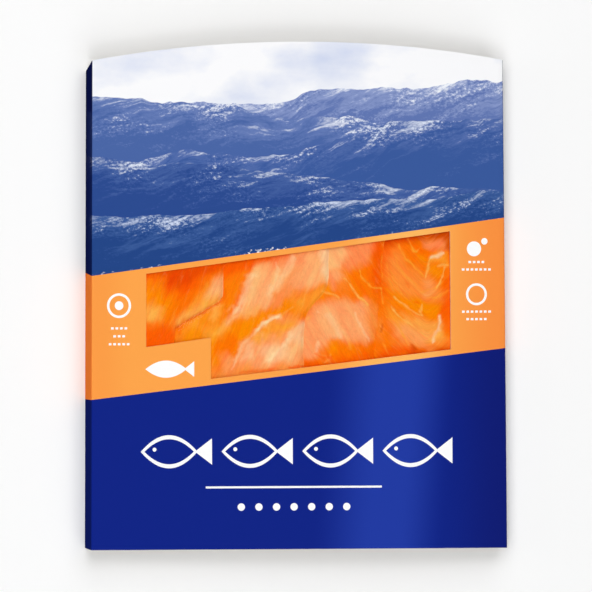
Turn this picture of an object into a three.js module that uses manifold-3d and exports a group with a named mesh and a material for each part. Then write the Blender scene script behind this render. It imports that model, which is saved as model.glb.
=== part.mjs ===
// A flat retail pack of sliced smoked salmon, lying on its back.
//
// Two pieces: a folded card sleeve, open at both ends, with an arched top edge and a notched window,
// and the clear vacuum pouch inside it, whose film clings to the overlapping slices.
//
// Millimetres. +Z up, out of the front panel; +Y towards the pack's top edge; +X to the front's right.
// The origin is at the middle of the pack's plan, on the surface that the back panel rests on.

import * as THREE from "three";
import { mergeVertices } from "three/addons/utils/BufferGeometryUtils.js";
import Module from "manifold-3d";

const wasm = await Module();
wasm.setup();

// ---- Driving dimensions -------------------------------------------------------------------------

// Sleeve
const WIDTH_BOTTOM = 195.6; // front panel from crease to crease, at its bottom edge
const WIDTH_TOP = 193.0; // the same at the top corners: the sleeve narrows a little
const SIDE_HEIGHT = 222.2; // front panel's straight side edges
const ARCH_RISE = 8.4; // top edge's rise from the corners to its apex
const DEPTH = 12.2; // spines, back face to front crease
const BULGE = 2.6; // how far the filled front panel stands above its creases
const CREST = 0.66; // where the bulge is highest, as a share of the width from the left
const CARD = 0.5; // board thickness
const CREASE_RADIUS = 0.9; // outside radius of a folded crease
const BACK_TOP_DROP = 5.1; // back panel's top edge below the front's corners
const BACK_BOTTOM_RISE = 1.1; // back panel's bottom edge above the front's
const LAP_WIDTH = 15; // glue flap inside the back panel
const LAP_SETBACK = 1.0; // back panel's free edge, short of the right spine

// Window, from the pack's bottom edge up; it leans with the printed band
const WINDOW_LEFT = -72.1;
const WINDOW_RIGHT = 71.4;
const WINDOW_TOP_LEFT = 125.3; // height of the top edge at the left end
const WINDOW_TOP_SLOPE = 0.132;
const WINDOW_BASE_LEFT = 73.95; // height of the bottom edge's line, carried on to the left end
const WINDOW_BASE_SLOPE = 0.115;
const NOTCH_RIGHT = -41.8; // the notch takes the window's lower left corner
const NOTCH_TOP_LEFT = 92.0;
const NOTCH_TOP_SLOPE = 0.137;

// Pouch
const POUCH_WIDTH = 186;
const POUCH_LENGTH = 206;
const SEAL = 0.6; // thickness of the flat sealed margin
const POUCH_GAP = 0.3; // clearance to the glue flap below
const COVER_GAP = 0.3; // clearance to the card above the highest slice
const PILE_HALF_WIDTH = 88; // salmon under the film
const PILE_HALF_LENGTH = 78;
const PILE_CENTRE_Y = -4.5;
const PILE_SQUARENESS_X = 16; // higher is flatter on top, with steeper sides
const PILE_SQUARENESS_Y = 5;
const SLICE_STEP = 0.9; // a slice's cut edge above the next slice
const STEP_RUN = 1.6; // width over which the film comes down that step
const GRID_X = 80; // cells of the pouch's upper face
const GRID_Y = 52;

// Each slice's right edge stands at x with a lean, and swings out by turn to either side of TURN_Y,
// within about run. The left slice is on top.
const SLICE_EDGES = [
  { x: -35.5, lean: 0.02, turn: 0, run: 1 },
  { x: 8.0, lean: 0, turn: 6, run: 6 },
  { x: 37.8, lean: 0.08, turn: 0, run: 1 },
];
const TURN_Y = -3;
const LAST_SLICE_LEVEL_X = 72; // the lowest slice has climbed to the cover here
// The top slice's lower edge slants down to the left from its corner, then falls away
const TOP_SLICE_CORNER_Y = -1.6;
const TOP_SLICE_LOWER_SLOPE = 0.6;
const TOP_SLICE_FALL_X = -57.6;
const TOP_SLICE_FALL = 24;
const TOP_SLICE_FALL_RUN = 2;

const CREASE_STEPS = 4;
const BULGE_STEPS = 44;
const ARCH_STEPS = 40;

const LENGTH = SIDE_HEIGHT + ARCH_RISE;
const BOTTOM_Y = -LENGTH / 2;
const CORNER_Y = BOTTOM_Y + SIDE_HEIGHT;
const CARD_COLOUR = "#162688";
const FILM_COLOUR = "#f7913a";

// ---- Joining and cutting ------------------------------------------------------------------------

function toSolid(geometry) {
  const bare = geometry.clone();
  bare.deleteAttribute("normal");
  bare.deleteAttribute("uv");
  const merged = mergeVertices(bare, 1e-4);
  const mesh = new wasm.Mesh({
    numProp: 3,
    vertProperties: merged.attributes.position.array,
    triVerts: new Uint32Array(merged.index.array),
  });
  return new wasm.Manifold(mesh);
}

function toGeometry(solid) {
  const mesh = solid.getMesh();
  const geometry = new THREE.BufferGeometry();
  geometry.setAttribute("position", new THREE.BufferAttribute(mesh.vertProperties, 3));
  geometry.setIndex(new THREE.BufferAttribute(mesh.triVerts, 1));
  geometry.computeVertexNormals();
  return geometry;
}

// Prisms on an outline of [a, b] points: along Z the outline is in x, y; along Y in x, z;
// along X in y, z.

function extrude(outline, depth, hole) {
  const shape = new THREE.Shape(outline.map(([a, b]) => new THREE.Vector2(a, b)));
  if (hole) shape.holes.push(new THREE.Path(hole.map(([a, b]) => new THREE.Vector2(a, b))));
  return new THREE.ExtrudeGeometry(shape, { depth, bevelEnabled: false });
}

function prismAlongZ(outline, from, to) {
  return extrude(outline, to - from).translate(0, 0, from);
}

function prismAlongY(outline, from, to, hole) {
  return extrude(outline, to - from, hole)
    .rotateX(Math.PI / 2)
    .translate(0, to, 0);
}

function prismAlongX(outline, from, to) {
  const turn = new THREE.Matrix4().makeBasis(
    new THREE.Vector3(0, 1, 0),
    new THREE.Vector3(0, 0, 1),
    new THREE.Vector3(1, 0, 0),
  );
  return extrude(outline, to - from)
    .applyMatrix4(turn)
    .translate(from, 0, 0);
}

// ---- Card sleeve --------------------------------------------------------------------------------

// Height of the front panel's outer face at x on the bottom edge's width.
function frontHeight(x) {
  const share = THREE.MathUtils.clamp(x / WIDTH_BOTTOM + 0.5, 0, 1);
  const skew = Math.log(0.5) / Math.log(CREST);
  return DEPTH + BULGE * Math.sin(Math.PI * share ** skew);
}

// Points of a quarter circle round a crease, from angle a to a + 90 degrees.
function creaseArc(x, z, radius, from) {
  return Array.from({ length: CREASE_STEPS + 1 }, (_, i) => {
    const angle = from + (i / CREASE_STEPS) * (Math.PI / 2);
    return [x + radius * Math.cos(angle), z + radius * Math.sin(angle)];
  });
}

// Points along the front panel from right to left, between the creases.
function frontCurve(inset, drop) {
  const half = WIDTH_BOTTOM / 2 - inset;
  return Array.from({ length: BULGE_STEPS + 1 }, (_, i) => {
    const x = half - (2 * half * i) / BULGE_STEPS;
    return [x, frontHeight(x) - drop];
  });
}

// The sleeve's section across the pack, counter-clockwise: its outer face.
function outerSection() {
  const half = WIDTH_BOTTOM / 2;
  const r = CREASE_RADIUS;
  return [
    ...creaseArc(-half + r, r, r, Math.PI),
    [half - LAP_SETBACK, 0],
    [half - LAP_SETBACK, CARD],
    ...creaseArc(half - r, CARD + r, r, -Math.PI / 2).slice(1),
    ...creaseArc(half - r, DEPTH - r, r, 0).slice(0, -1),
    ...frontCurve(r, 0),
    ...creaseArc(-half + r, DEPTH - r, r, Math.PI / 2).slice(1),
  ];
}

// Its inner face, with the glue flap lying on the back panel at the right.
function innerSection() {
  const half = WIDTH_BOTTOM / 2 - CARD;
  const r = CREASE_RADIUS - CARD;
  return [
    ...creaseArc(-half + r, CARD + r, r, Math.PI),
    [half - LAP_WIDTH, CARD],
    [half - LAP_WIDTH, 2 * CARD],
    ...creaseArc(half - r, 2 * CARD + r, r, -Math.PI / 2),
    ...creaseArc(half - r, DEPTH - CARD - r, r, 0).slice(0, -1),
    ...frontCurve(CREASE_RADIUS, CARD),
    ...creaseArc(-half + r, DEPTH - CARD - r, r, Math.PI / 2).slice(1),
  ];
}

// Draws the sides in evenly from the bottom edge to the top corners.
function narrowTowardsTop(geometry) {
  const position = geometry.attributes.position;
  const perMm = (WIDTH_TOP / WIDTH_BOTTOM - 1) / SIDE_HEIGHT;
  for (let i = 0; i < position.count; i += 1) {
    const scale = 1 + perMm * (position.getY(i) - BOTTOM_Y);
    position.setX(i, position.getX(i) * scale);
  }
  return geometry;
}

// The pack's front outline: straight sides and bottom, and an arc over the top corners.
function frontOutline() {
  const half = WIDTH_TOP / 2;
  const radius = (half * half + ARCH_RISE * ARCH_RISE) / (2 * ARCH_RISE);
  const centreY = CORNER_Y + ARCH_RISE - radius;
  const arch = Array.from({ length: ARCH_STEPS + 1 }, (_, i) => {
    const x = half - (2 * half * i) / ARCH_STEPS;
    return [x, centreY + Math.sqrt(radius * radius - x * x)];
  });
  const beyond = WIDTH_BOTTOM;
  return [
    [-beyond, BOTTOM_Y],
    [beyond, BOTTOM_Y],
    [beyond, CORNER_Y],
    ...arch,
    [-beyond, CORNER_Y],
  ];
}

// Side view of what the ends keep: the spines are cut on a slant back from the front panel.
function sideOutline() {
  const under = DEPTH - CARD - 0.02;
  const above = DEPTH + 2 * BULGE;
  const far = CORNER_Y + 2 * ARCH_RISE;
  return [
    [BOTTOM_Y + BACK_BOTTOM_RISE, -1],
    [CORNER_Y - BACK_TOP_DROP, -1],
    [CORNER_Y - BACK_TOP_DROP, 0],
    [CORNER_Y - (BACK_TOP_DROP * CARD) / DEPTH, under],
    [far, under],
    [far, above],
    [BOTTOM_Y - 1, above],
    [BOTTOM_Y - 1, DEPTH - CARD],
    [BOTTOM_Y, DEPTH - CARD],
    [BOTTOM_Y + BACK_BOTTOM_RISE, 0],
  ];
}

// The window: a leaning band with its lower left corner left in place as a tab.
function windowOutline() {
  const top = (x) => BOTTOM_Y + WINDOW_TOP_LEFT + WINDOW_TOP_SLOPE * (x - WINDOW_LEFT);
  const base = (x) => BOTTOM_Y + WINDOW_BASE_LEFT + WINDOW_BASE_SLOPE * (x - WINDOW_LEFT);
  const notch = (x) => BOTTOM_Y + NOTCH_TOP_LEFT + NOTCH_TOP_SLOPE * (x - WINDOW_LEFT);
  return [
    [WINDOW_LEFT, notch(WINDOW_LEFT)],
    [NOTCH_RIGHT, notch(NOTCH_RIGHT)],
    [NOTCH_RIGHT, base(NOTCH_RIGHT)],
    [WINDOW_RIGHT, base(WINDOW_RIGHT)],
    [WINDOW_RIGHT, top(WINDOW_RIGHT)],
    [WINDOW_LEFT, top(WINDOW_LEFT)],
  ];
}

function makeSleeve() {
  const top = CORNER_Y + 2 * ARCH_RISE;
  const ring = prismAlongY(outerSection(), BOTTOM_Y - 2, top, innerSection());
  const tube = toSolid(narrowTowardsTop(ring));
  const ends = toSolid(prismAlongX(sideOutline(), -WIDTH_BOTTOM, WIDTH_BOTTOM));
  const front = toSolid(prismAlongZ(frontOutline(), -2, DEPTH + 3 * BULGE));
  const window = toSolid(prismAlongZ(windowOutline(), DEPTH - 3 * CARD, DEPTH + 2 * BULGE));
  const solid = tube.intersect(ends).intersect(front).subtract(window);
  const card = new THREE.MeshStandardMaterial({ color: CARD_COLOUR, roughness: 0.4, metalness: 0 });
  const mesh = new THREE.Mesh(toGeometry(solid), card);
  mesh.name = "card_sleeve";
  return mesh;
}

// ---- Vacuum pouch -------------------------------------------------------------------------------

// x of a slice's right edge at y.
function edgeAt(edge, y) {
  return edge.x + edge.lean * y + edge.turn * Math.tanh((y - TURN_Y) / edge.run);
}

// y of the top slice's lower edge at x.
function lowerEdgeAt(x) {
  const slant = TOP_SLICE_CORNER_Y + TOP_SLICE_LOWER_SLOPE * (x - SLICE_EDGES[0].x);
  return slant - TOP_SLICE_FALL * THREE.MathUtils.smoothstep(TOP_SLICE_FALL_X - x, 0, TOP_SLICE_FALL_RUN);
}

// Share of a step that the film has come down, at a distance past the slice's edge.
function stepDown(past) {
  return THREE.MathUtils.smoothstep(past, 0, STEP_RUN);
}

// How much lower than the cover the film lies, from the slices' overlapping edges: each slice
// starts a step down, under its left neighbour, and climbs to its own right edge.
function shingle(x, y) {
  const edges = SLICE_EDGES.map((edge) => edgeAt(edge, y));
  const slice = edges.filter((edge) => x > edge).length;
  if (slice === 0) return SLICE_STEP * stepDown(lowerEdgeAt(x) - y);
  const start = edges[slice - 1];
  const end = edges[slice] ?? LAST_SLICE_LEVEL_X;
  const belowCorner = slice === 1 ? stepDown(TOP_SLICE_CORNER_Y - y) : 0;
  const down = THREE.MathUtils.lerp(stepDown(x - start), 1, belowCorner);
  return SLICE_STEP * down * Math.max(0, (end - x) / (end - start));
}

// Share of the full height that the pile of slices has at x, y; 0 outside it.
function dome(x, y) {
  const across = Math.abs(x / PILE_HALF_WIDTH) ** PILE_SQUARENESS_X;
  const along = Math.abs((y - PILE_CENTRE_Y) / PILE_HALF_LENGTH) ** PILE_SQUARENESS_Y;
  return Math.sqrt(Math.max(0, 1 - across - along));
}

function pouchTop(x, y, floor) {
  const cover = frontHeight(x) - CARD - COVER_GAP - shingle(x, y);
  return floor + SEAL + (cover - floor - SEAL) * dome(x, y);
}

// Cell lines along one side of the pouch, closer together towards its ends, where the pile falls away.
function gridLines(size, cells) {
  return Array.from({ length: cells + 1 }, (_, i) => {
    const share = (2 * i) / cells - 1;
    return (size / 2) * (0.8 * share + 0.2 * Math.sin((Math.PI / 2) * share));
  });
}

// Closed body: a relief grid on top, a flat base and upright sides.
function reliefSolid(xs, ys, floor) {
  const columns = xs.length;
  const points = [];
  const faces = [];
  ys.forEach((y) => xs.forEach((x) => points.push(x, y, pouchTop(x, y, floor))));
  ys.forEach((y) => xs.forEach((x) => points.push(x, y, floor)));
  const top = (i, j) => j * columns + i;
  const base = (i, j) => ys.length * columns + top(i, j);
  const quad = (a, b, c, d) => faces.push(a, b, c, a, c, d);
  const lastX = columns - 1;
  const lastY = ys.length - 1;
  for (let j = 0; j < lastY; j += 1) {
    for (let i = 0; i < lastX; i += 1) quad(top(i, j), top(i + 1, j), top(i + 1, j + 1), top(i, j + 1));
    quad(base(0, j), top(0, j), top(0, j + 1), base(0, j + 1));
    quad(base(lastX, j + 1), top(lastX, j + 1), top(lastX, j), base(lastX, j));
  }
  for (let i = 0; i < lastX; i += 1) {
    quad(top(i, 0), base(i, 0), base(i + 1, 0), top(i + 1, 0));
    quad(top(i + 1, lastY), base(i + 1, lastY), base(i, lastY), top(i, lastY));
  }
  faces.push(...baseFan(points, base, lastX, lastY, floor));
  const geometry = new THREE.BufferGeometry();
  geometry.setAttribute("position", new THREE.Float32BufferAttribute(points, 3));
  geometry.setIndex(faces);
  return geometry;
}

// The flat underside as a fan from its middle to every point of its rim.
function baseFan(points, base, lastX, lastY, floor) {
  const middle = points.length / 3;
  points.push(0, 0, floor);
  const rim = [];
  for (let i = 0; i < lastX; i += 1) rim.push(base(i, 0));
  for (let j = 0; j < lastY; j += 1) rim.push(base(lastX, j));
  for (let i = lastX; i > 0; i -= 1) rim.push(base(i, lastY));
  for (let j = lastY; j > 0; j -= 1) rim.push(base(0, j));
  return rim.flatMap((point, i) => [middle, rim[(i + 1) % rim.length], point]);
}

function makePouch() {
  const floor = 2 * CARD + POUCH_GAP;
  const xs = gridLines(POUCH_WIDTH, GRID_X);
  const ys = gridLines(POUCH_LENGTH, GRID_Y);
  const solid = toSolid(reliefSolid(xs, ys, floor));
  const film = new THREE.MeshStandardMaterial({ color: FILM_COLOUR, roughness: 0.25, metalness: 0 });
  const mesh = new THREE.Mesh(toGeometry(solid), film);
  mesh.name = "salmon_pouch";
  return mesh;
}

// ---- The pack -----------------------------------------------------------------------------------

const pack = new THREE.Group();
pack.add(makeSleeve(), makePouch());

export default pack;
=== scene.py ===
import math
from functools import partial

import bmesh
import bpy
import numpy as np
from bpy.props import FloatProperty, FloatVectorProperty, PointerProperty
from mathutils import Matrix, Vector


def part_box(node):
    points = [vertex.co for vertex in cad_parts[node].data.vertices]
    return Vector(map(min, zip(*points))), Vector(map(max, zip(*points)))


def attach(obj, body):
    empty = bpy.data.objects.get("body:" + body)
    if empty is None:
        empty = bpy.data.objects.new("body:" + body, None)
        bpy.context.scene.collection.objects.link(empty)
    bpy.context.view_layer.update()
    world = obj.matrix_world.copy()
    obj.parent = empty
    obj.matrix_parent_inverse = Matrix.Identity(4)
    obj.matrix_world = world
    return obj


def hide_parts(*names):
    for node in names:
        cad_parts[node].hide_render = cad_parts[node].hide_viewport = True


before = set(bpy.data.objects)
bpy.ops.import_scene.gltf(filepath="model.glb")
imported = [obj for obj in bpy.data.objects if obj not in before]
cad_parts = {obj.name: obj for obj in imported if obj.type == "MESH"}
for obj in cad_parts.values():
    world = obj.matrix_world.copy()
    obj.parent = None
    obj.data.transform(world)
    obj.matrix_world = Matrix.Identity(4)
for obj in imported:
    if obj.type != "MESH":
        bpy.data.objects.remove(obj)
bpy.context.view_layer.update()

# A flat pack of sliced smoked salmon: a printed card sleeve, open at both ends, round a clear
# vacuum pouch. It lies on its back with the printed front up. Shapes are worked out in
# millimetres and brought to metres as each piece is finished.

bl_info = {
    "name": "Smoked salmon pack",
    "version": (1, 0, 0),
    "blender": (4, 5, 0),
    "location": "3D View > Sidebar > Pack",
    "description": "Builds a card sleeve round a clear pouch of sliced smoked salmon",
    "category": "Object",
}

MM = 0.001


def linear(code):
    """sRGB hex to a linear colour with full alpha."""
    channels = [int(code[i : i + 2], 16) / 255 for i in (1, 3, 5)]
    return (*(c / 12.92 if c <= 0.04045 else ((c + 0.055) / 1.055) ** 2.4 for c in channels), 1.0)


# ---- Sizes from the frame, in millimetres --------------------------------------------------------

SLEEVE_LOW, SLEEVE_HIGH = (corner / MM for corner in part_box("card_sleeve"))
POUCH_LOW, POUCH_HIGH = (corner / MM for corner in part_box("salmon_pouch"))
WIDTH = SLEEVE_HIGH.x - SLEEVE_LOW.x
HALF = WIDTH / 2
LENGTH = SLEEVE_HIGH.y - SLEEVE_LOW.y
BOTTOM_Y = SLEEVE_LOW.y

# ---- Sleeve ----
CREST = 0.66  # where the filled front stands highest, as a share of the width
ARCH_BLEND = 60.0  # the rows below the top edge over which the arch fades out
BACK_TOP_DROP = 5.1
BACK_BOTTOM_RISE = 1.1
LAP_WIDTH = 15.0
LAP_SETBACK = 1.0
LAP_GAP = 0.02  # the flap lies on the back panel
CREASE_SEGMENTS = 6
FRONT_COLUMNS, FRONT_ROWS = 96, 47  # faces across the front and along the pack
WINDOW_LEFT, WINDOW_RIGHT = -72.1, 71.4
WINDOW_TOP = (125.3, 0.132)  # height above the bottom edge at the left end, and slope
WINDOW_BASE = (73.95, 0.115)
WINDOW_NOTCH = (92.0, 0.137)
NOTCH_RIGHT = -41.8

# ---- Pile of slices under the film, as in the frame's pouch ----
COVER_GAP = 0.15
SEAL = 0.6
PILE_HALF_WIDTH, PILE_HALF_LENGTH = 88.0, 78.0
PILE_CENTRE_Y = -4.5
PILE_SQUARENESS = (16.0, 5.0)
PILE_SHOWS_Y = (-39, 31)  # rows that can be seen through the window
SLICE_INSET = 3.0  # a hidden edge lies this far inside the pile's own
SLICE_STEP = 0.9
STEP_RUN = 1.6
# x of each slice's right edge where it turns, its lean, and the x and y sizes of its turn
SLICE_EDGES = ((-35.5, 0.02, 0, 1), (8.0, 0.0, 6.0, 6.0), (37.8, 0.08, 0, 1))
EDGE_WAVES = (0.1, 0.15, 0.55)  # how far each edge wavers, in a long wave and a short one
WAVE_LONG, WAVE_SHORT, WAVE_SHORT_SHARE = 3.1, 1.3, 0.6
EDGE_ROUNDS = (1.2, 1.2, 3.0)  # how far in from it the slice droops
EDGE_DROOP = 0.9  # and by how many steps
TURN_Y = -3.0
LAST_SLICE_LEVEL_X = 72.0
TOP_SLICE_CORNER_Y = -1.6
TOP_SLICE_LOWER_SLOPE = 0.6
TOP_SLICE_FALL_X, TOP_SLICE_FALL, TOP_SLICE_FALL_RUN = -57.6, 24, 2
TUCK = 6.0  # how far a slice reaches under its left neighbour
TUCK_DIP = 0.02  # steps by which a tucked end sinks with each millimetre
SECOND_SLICE_DIP = 0.45  # steps by which the second slice sinks under the top one
SECOND_SLICE_SEEN_X = -62.0  # left of this the top slice hides the second
RELIEF = 0.6  # millimetres of height for a streak's lift of 1
COARSE_GRID = 3.0  # mesh spacing of the slices where the card hides them
SHOWN_MARGIN = 2.0  # the fine mesh goes on this far past the window's sides
# The slices underneath: how far their body stays inside the pile, under the film and over the
# pouch's base, and how thin it may get
CORE_INSET, CORE_DROP, CORE_FLOOR, CORE_THINNEST = 1.5, 2.1 * SLICE_STEP, 0.2, 0.3
CORE_GRID, FILM_GRID = (60, 48), (186, 150)  # faces across and along


class SleeveSizes(bpy.types.PropertyGroup):
    card: FloatProperty(
        name="Card", description="Board thickness", default=0.5 * MM, unit="LENGTH"
    )
    crease: FloatProperty(
        name="Crease radius", description="Outside radius of a fold", default=0.9 * MM,
        unit="LENGTH",
    )
    depth: FloatProperty(
        name="Depth", description="Back face to front crease", default=12.2 * MM, unit="LENGTH"
    )
    arch: FloatProperty(
        name="Arch", description="Rise of the top edge's arc", default=8.4 * MM, unit="LENGTH"
    )
    top_width: FloatProperty(
        name="Top width", description="Front width at the top corners", default=193 * MM,
        unit="LENGTH",
    )


COLOUR_FIELD = {"size": 4, "subtype": "COLOR", "min": 0, "max": 1}


class PackColours(bpy.types.PropertyGroup):
    navy: FloatVectorProperty(
        name="Navy", description="Blue field under the band", default=linear("#112586"),
        **COLOUR_FIELD,
    )
    back_navy: FloatVectorProperty(
        name="Back navy", description="Plain blue of the back above the band",
        default=linear("#0C1346"), **COLOUR_FIELD,
    )
    orange: FloatVectorProperty(
        name="Orange", description="Slanted band", default=linear("#FEA54C"), **COLOUR_FIELD
    )
    flesh: FloatVectorProperty(
        name="Flesh", description="Salmon between its fat lines", default=linear("#FF7A08"),
        **COLOUR_FIELD,
    )


class SalmonSizes(bpy.types.PropertyGroup):
    slice: FloatProperty(
        name="Slice", description="Thickness of a slice", default=1.2 * MM, unit="LENGTH"
    )
    film_gap: FloatProperty(
        name="Film gap", description="Film above the slices", default=0.1 * MM, unit="LENGTH"
    )
    grid: FloatProperty(
        name="Grid", description="Mesh spacing behind the window", default=0.35 * MM,
        unit="LENGTH",
    )


# ---- Small tools ---------------------------------------------------------------------------------


def add(tree, kind, *values, stops=(), **named):
    """Adds a shader node. Values set or link its inputs in order. A name with a capital is an
    input too, with _ for a space, and any other is a setting. Stops are a ramp's positions and
    colours."""
    node = tree.nodes.new("ShaderNode" + kind)
    for name, value in named.items():
        if name[0].islower():
            setattr(node, name, value)
    ordered = [socket for socket in node.inputs if socket.enabled]
    by_name = [
        (node.inputs[name.replace("_", " ")], value)
        for name, value in named.items()
        if name[0].isupper()
    ]
    for socket, value in [*zip(ordered, values), *by_name]:
        if isinstance(value, bpy.types.Node):
            value = next(output for output in value.outputs if output.enabled)
        if isinstance(value, bpy.types.NodeSocket):
            tree.links.new(value, socket)
        else:
            socket.default_value = value
    for index, (position, colour) in enumerate(stops):
        elements = node.color_ramp.elements
        stop = elements[index] if index < len(elements) else elements.new(position)
        stop.position, stop.color = position, colour
    return node


def new_material(name):
    """A material without nodes, and the function that adds one to it."""
    material = bpy.data.materials.new(name)
    material.use_nodes = True
    material.node_tree.nodes.clear()
    return material, partial(add, material.node_tree)


def object_mm(node, origin_y=0.0):
    """Object coordinates in millimetres, with y counted from origin_y."""
    place = node("TexCoord").outputs["Object"]
    return node("Mapping", Vector=place, Location=(0, -origin_y, 0), Scale=(1 / MM,) * 3)


def away_from(node, value, middle):
    """How far value lies from middle, on either side."""
    return node("Math", node("Math", value, -middle, operation="ADD"), operation="ABSOLUTE")


def finish_piece(bm, name, materials, body="root"):
    """Brings a bmesh in millimetres to a piece in metres that rides on its body."""
    bmesh.ops.scale(bm, vec=(MM,) * 3, verts=bm.verts)
    mesh = bpy.data.meshes.new(name)
    bm.to_mesh(mesh)
    bm.free()
    for material in materials:
        mesh.materials.append(material)
    piece = bpy.data.objects.new(name, mesh)
    bpy.context.scene.collection.objects.link(piece)
    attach(piece, body)
    return piece


def shade_smooth(mesh, sharp_angle):
    """Smooth shading, but for edges past sharp_angle in degrees."""
    mesh.polygons.foreach_set("use_smooth", [True] * len(mesh.polygons))
    mesh.set_sharp_from_angle(angle=math.radians(sharp_angle))


def add_wall(piece, thickness, sharp_angle, **settings):
    """Thickens a sheet on its underside with a Solidify modifier, and applies it."""
    wall = piece.modifiers.new("Wall", "SOLIDIFY")
    wall.thickness = thickness
    wall.offset = -1
    for name, value in settings.items():
        setattr(wall, name, value)
    graph = bpy.context.evaluated_depsgraph_get()
    mesh = bpy.data.meshes.new_from_object(piece.evaluated_get(graph))
    piece.modifiers.clear()
    piece.data = mesh
    shade_smooth(mesh, sharp_angle)


def flat_grid(columns, rows):
    """A flat grid of faces, and the place of each corner in it, from -1 to 1 both ways."""
    bm = bmesh.new()
    bmesh.ops.create_grid(bm, x_segments=columns, y_segments=rows, size=0.5)
    return bm, 2 * np.array([v.co[:2] for v in bm.verts]).T


def place_corners(bm, *places):
    """Moves a bmesh's corners to the x, y and z given."""
    for v, *place in zip(bm.verts, *places):
        v.co = place


def close_below(bm, floor):
    """Draws a sheet's rim down to the height of floor and closes it there."""
    rim = [e for e in bm.edges if e.is_boundary]
    for v in bmesh.ops.extrude_edge_only(bm, edges=rim)["geom"]:
        if isinstance(v, bmesh.types.BMVert):
            v.co.z = floor
    bmesh.ops.contextual_create(bm, geom=[e for e in bm.edges if e.is_boundary])
    bmesh.ops.recalc_face_normals(bm, faces=bm.faces)


def smoothstep(value, low, high):
    """0 below low, 1 above high, and an even rise between them."""
    share = np.clip((value - low) / (high - low), 0, 1)
    return share * share * (3 - 2 * share)


# ---- Heights shared by the sleeve, the slices and the film ---------------------------------------


def front_height(x):
    """Outer face of the front panel at x, in millimetres."""
    depth = bpy.context.scene.sleeve_sizes.depth / MM
    share = np.clip(x / WIDTH + 0.5, 0, 1)
    skew = math.log(0.5) / math.log(CREST)
    return depth + (SLEEVE_HIGH.z - depth) * np.sin(math.pi * share**skew)


def pile_height(x, y, fall):
    """Film over the pile, where fall is how far a slice dips under its neighbour, in steps."""
    card = bpy.context.scene.sleeve_sizes.card / MM
    base = POUCH_LOW.z + SEAL
    cover = front_height(x) - card - COVER_GAP - SLICE_STEP * fall
    across = np.abs(x / PILE_HALF_WIDTH) ** PILE_SQUARENESS[0]
    along = np.abs((y - PILE_CENTRE_Y) / PILE_HALF_LENGTH) ** PILE_SQUARENESS[1]
    return base + (cover - base) * np.sqrt(np.clip(1 - across - along, 0, 1))


def edge_at(index, y):
    """x of a slice's right edge at y; the pile's ends lie past the first and the last."""
    if index < 0:
        return -PILE_HALF_WIDTH - 1 + 0 * y
    if index >= len(SLICE_EDGES):
        return LAST_SLICE_LEVEL_X + 0 * y
    x, lean, turn, run = SLICE_EDGES[index]
    waver = np.sin(y / WAVE_LONG) + WAVE_SHORT_SHARE * np.sin(y / WAVE_SHORT)
    return x + lean * y + turn * np.tanh((y - TURN_Y) / run) + EDGE_WAVES[index] * waver


def lower_edge(x):
    """y of the top slice's lower edge at x: slanted, then falling away towards the left."""
    slant = TOP_SLICE_CORNER_Y + TOP_SLICE_LOWER_SLOPE * (x - SLICE_EDGES[0][0])
    return slant - TOP_SLICE_FALL * smoothstep(TOP_SLICE_FALL_X - x, 0, TOP_SLICE_FALL_RUN)


def climb_left(x, start, end):
    """Share of a step that a slice still has to climb at x, between its neighbours' edges."""
    return np.maximum(0, (end - x) / (end - start))


def film_fall(x, y):
    """Steps by which the film lies below the cover at x, y."""
    fall = smoothstep(lower_edge(x) - y, 0, STEP_RUN)
    past_corner = smoothstep(TOP_SLICE_CORNER_Y - y, 0, STEP_RUN)
    for index in range(len(SLICE_EDGES)):
        start, end = edge_at(index, y), edge_at(index + 1, y)
        step = smoothstep(x - start, 0, STEP_RUN)
        if index == 0:
            step = step + (1 - step) * past_corner
        fall = np.where(x > start, step * climb_left(x, start, end), fall)
    return fall


# ---- Card sleeve ---------------------------------------------------------------------------------


def window_line(line, x):
    """y of one of the window's slanted edges at x."""
    return BOTTOM_Y + line[0] + line[1] * (x - WINDOW_LEFT)


def in_window(x, y):
    base = WINDOW_NOTCH if x < NOTCH_RIGHT else WINDOW_BASE
    across = WINDOW_LEFT < x < WINDOW_RIGHT
    return across and window_line(base, x) < y < window_line(WINDOW_TOP, x)


def sleeve_strip(sizes):
    """The sleeve's outer face as five flat strips, open at the glue flap, with slanted ends."""
    card, depth = sizes.card / MM, sizes.depth / MM
    side = LENGTH - sizes.arch / MM
    lap = card + LAP_GAP
    section = [
        (HALF - LAP_WIDTH, lap),
        (HALF, lap),
        (HALF, depth),
        (-HALF, depth),
        (-HALF, 0),
        (HALF - LAP_SETBACK, 0),
    ]
    bm = bmesh.new()
    corners = [bm.verts.new((x, BOTTOM_Y, z)) for x, z in section]
    edges = [bm.edges.new(pair) for pair in zip(corners, corners[1:])]
    made = bmesh.ops.extrude_edge_only(bm, edges=edges)["geom"]
    far = [v for v in made if isinstance(v, bmesh.types.BMVert)]
    bmesh.ops.translate(bm, vec=(0, side, 0), verts=far)
    for v in bm.verts:
        back = 1 - v.co.z / depth
        v.co.y += BACK_BOTTOM_RISE * back if v.co.y < 0 else -BACK_TOP_DROP * back
    return bm


def along_y(edge):
    a, b = (v.co for v in edge.verts)
    return abs(a.y - b.y) > abs(a.x - b.x) + abs(a.z - b.z)


def on_front(item, depth):
    return all(v.co.z > depth - 1e-3 for v in item.verts)


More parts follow.
